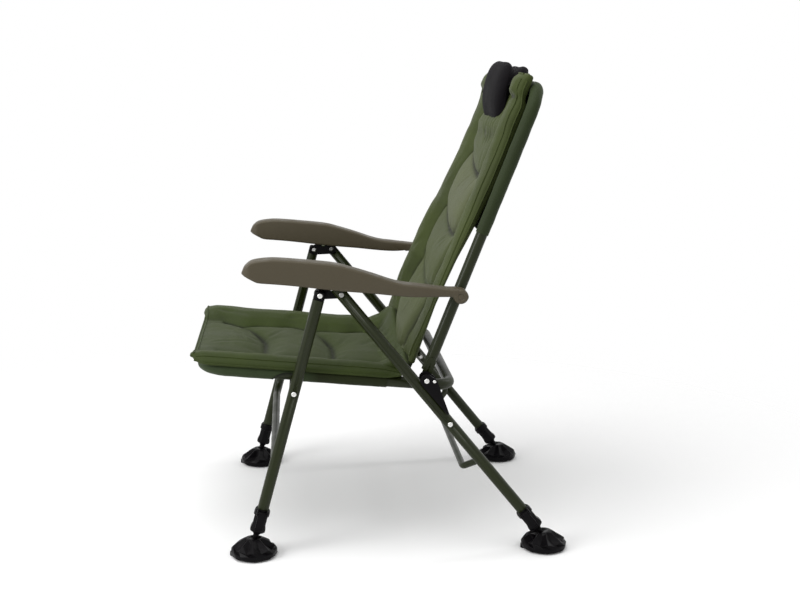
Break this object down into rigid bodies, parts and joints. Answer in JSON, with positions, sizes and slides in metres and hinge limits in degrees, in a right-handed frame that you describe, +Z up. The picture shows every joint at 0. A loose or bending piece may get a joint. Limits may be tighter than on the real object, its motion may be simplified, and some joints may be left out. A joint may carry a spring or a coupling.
{
  "type": "folding fishing chair",
  "caption": "Padded fishing armchair with reclining back, black head pillow, brown armrests, folding tube frame and telescopic legs on swivelling mud feet.",
  "frame": {"origin": "middle of the bounding box's base, on the floor", "axes": "+Z up, -Y the way the sitter faces, +X the sitter's left"},
  "size_m": [0.716, 0.8248, 1.0703],
  "materials": {
    "frame_paint": "glossy dark green-grey coat",
    "black_steel": "satin black",
    "zinc_steel": "bright zinc plate",
    "arm_plastic": "satin moulded, grey-brown",
    "black_plastic": "satin moulded black",
    "sling_fabric": "woven, dark green",
    "pad_fabric": "smooth woven, olive green",
    "pillow_fabric": "smooth woven, black"
  },
  "bodies": {
    "rear_frame": {"rear_leg_left": "frame_paint", "rear_leg_right": "frame_paint", "leg_top_plate_left": "black_steel", "leg_top_plate_right": "black_steel", "rack_pin_left": "zinc_steel", "rack_pin_right": "zinc_steel", "front_pivot_bolt_left": "zinc_steel", "front_pivot_bolt_right": "zinc_steel", "rear_leg_bolt_left": "zinc_steel", "rear_leg_bolt_right": "zinc_steel", "hinge_plate_left": "black_steel", "hinge_plate_right": "black_steel", "hinge_bolt_left": "zinc_steel", "hinge_bolt_right": "zinc_steel", "hinge_stop_pin_left": "zinc_steel", "hinge_stop_pin_right": "zinc_steel", "rear_stretcher_bolt_left": "zinc_steel", "rear_stretcher_bolt_right": "zinc_steel", "rear_leg_clamp_left": "black_plastic", "rear_leg_clamp_right": "black_plastic", "rear_lever_pin_left": "zinc_steel", "rear_lever_pin_right": "zinc_steel", "rear_stretcher": "frame_paint"},
    "front_frame": {"front_leg_left": "frame_paint", "front_leg_right": "frame_paint", "front_leg_eye_left": "black_plastic", "front_leg_eye_right": "black_plastic", "front_stretcher_bolt_left": "zinc_steel", "front_stretcher_bolt_right": "zinc_steel", "front_leg_clamp_left": "black_plastic", "front_leg_clamp_right": "black_plastic", "front_lever_pin_left": "zinc_steel", "front_lever_pin_right": "zinc_steel", "front_stretcher": "frame_paint"},
    "seat": {"seat_frame": "frame_paint", "seat_rear_bar": "frame_paint", "seat_sling": "sling_fabric", "seat_pad": "pad_fabric"},
    "backrest": {"back_frame": "frame_paint", "back_sling": "sling_fabric", "back_pad": "pad_fabric", "armrest_bolt_left": "zinc_steel", "armrest_bolt_right": "zinc_steel"},
    "pillow": {"head_pillow": "pillow_fabric"},
    "armrest_left": {"armrest_left": "arm_plastic"},
    "armrest_right": {"armrest_right": "arm_plastic"},
    "front_leg_extension_left_body": {"front_leg_extension_left": "black_steel"},
    "front_mud_foot_left_body": {"front_mud_foot_left": "black_plastic"},
    "front_lock_lever_left_body": {"front_lock_lever_left": "black_plastic"},
    "front_leg_extension_right_body": {"front_leg_extension_right": "black_steel"},
    "front_mud_foot_right_body": {"front_mud_foot_right": "black_plastic"},
    "front_lock_lever_right_body": {"front_lock_lever_right": "black_plastic"},
    "rear_leg_extension_left_body": {"rear_leg_extension_left": "black_steel"},
    "rear_mud_foot_left_body": {"rear_mud_foot_left": "black_plastic"},
    "rear_lock_lever_left_body": {"rear_lock_lever_left": "black_plastic"},
    "rear_leg_extension_right_body": {"rear_leg_extension_right": "black_steel"},
    "rear_mud_foot_right_body": {"rear_mud_foot_right": "black_plastic"},
    "rear_lock_lever_right_body": {"rear_lock_lever_right": "black_plastic"}
  },
  "joints": [
    {"name": "backrest_recline", "type": "hinge", "parent": "rear_frame", "child": "backrest", "pos_m": [0, 0.0926, 0.39474], "axis": [-1, 0, 0], "range_deg": [-8, 22]},
    {"name": "pillow_lift", "type": "slide", "parent": "backrest", "child": "pillow", "axis": [0, 0.3584, 0.9336], "range_m": [0, 0.06]},
    {"name": "armrest_left_pivot", "type": "hinge", "parent": "backrest", "child": "armrest_left", "pos_m": [0.31, 0.16359, 0.57968], "axis": [-1, 0, 0], "range_deg": [-16.2, 6]},
    {"name": "armrest_right_pivot", "type": "hinge", "parent": "backrest", "child": "armrest_right", "pos_m": [-0.31, 0.16359, 0.57968], "axis": [-1, 0, 0], "range_deg": [-16.2, 6]},
    {"name": "seat_fold", "type": "hinge", "parent": "rear_frame", "child": "seat", "pos_m": [0, 0.0926, 0.39474], "axis": [-1, 0, 0], "range_deg": [0, 46], "deforming": ["seat_pad"]},
    {"name": "front_leg_fold", "type": "hinge", "parent": "rear_frame", "child": "front_frame", "pos_m": [0, -0.13694, 0.5832], "axis": [1, 0, 0], "range_deg": [0, 50.5]},
    {"name": "front_leg_length_left", "type": "slide", "parent": "front_frame", "child": "front_leg_extension_left_body", "axis": [0, -0.2554, -0.9668], "range_m": [0, 0.08]},
    {"name": "front_foot_tilt_left", "type": "hinge", "parent": "front_leg_extension_left_body", "child": "front_mud_foot_left_body", "pos_m": [0.31, -0.28363, 0.028], "axis": [1, 0, 0], "range_deg": [-15, 15]},
    {"name": "front_lever_left", "type": "hinge", "parent": "front_frame", "child": "front_lock_lever_left_body", "pos_m": [0.331, -0.26422, 0.10148], "axis": [0, -0.9668, 0.2554], "range_deg": [0, 75]},
    {"name": "front_leg_length_right", "type": "slide", "parent": "front_frame", "child": "front_leg_extension_right_body", "axis": [0, -0.2554, -0.9668], "range_m": [0, 0.08]},
    {"name": "front_foot_tilt_right", "type": "hinge", "parent": "front_leg_extension_right_body", "child": "front_mud_foot_right_body", "pos_m": [-0.31, -0.28363, 0.028], "axis": [1, 0, 0], "range_deg": [-15, 15]},
    {"name": "front_lever_right", "type": "hinge", "parent": "front_frame", "child": "front_lock_lever_right_body", "pos_m": [-0.331, -0.26422, 0.10148], "axis": [0, 0.9668, -0.2554], "range_deg": [0, 75]},
    {"name": "rear_leg_length_left", "type": "slide", "parent": "rear_frame", "child": "rear_leg_extension_left_body", "axis": [0, 0.6334, -0.7738], "range_m": [0, 0.08]},
    {"name": "rear_foot_tilt_left", "type": "hinge", "parent": "rear_leg_extension_left_body", "child": "rear_mud_foot_left_body", "pos_m": [0.31, 0.36436, 0.02797], "axis": [1, 0, 0], "range_deg": [-15, 15]},
    {"name": "rear_lever_left", "type": "hinge", "parent": "rear_frame", "child": "rear_lock_lever_left_body", "pos_m": [0.331, 0.31622, 0.08679], "axis": [0, -0.7738, -0.6334], "range_deg": [0, 75]},
    {"name": "rear_leg_length_right", "type": "slide", "parent": "rear_frame", "child": "rear_leg_extension_right_body", "axis": [0, 0.6334, -0.7738], "range_m": [0, 0.08]},
    {"name": "rear_foot_tilt_right", "type": "hinge", "parent": "rear_leg_extension_right_body", "child": "rear_mud_foot_right_body", "pos_m": [-0.31, 0.36436, 0.02797], "axis": [1, 0, 0], "range_deg": [-15, 15]},
    {"name": "rear_lever_right", "type": "hinge", "parent": "rear_frame", "child": "rear_lock_lever_right_body", "pos_m": [-0.331, 0.31622, 0.08679], "axis": [0, 0.7738, 0.6334], "range_deg": [0, 75]}
  ],
  "couplings": [
    {"joint": "armrest_left_pivot", "follows": "backrest_recline", "ratio": -0.728},
    {"joint": "armrest_right_pivot", "follows": "backrest_recline", "ratio": -0.728},
    {"joint": "front_leg_fold", "follows": "seat_fold", "ratio": 1.087}
  ]
}
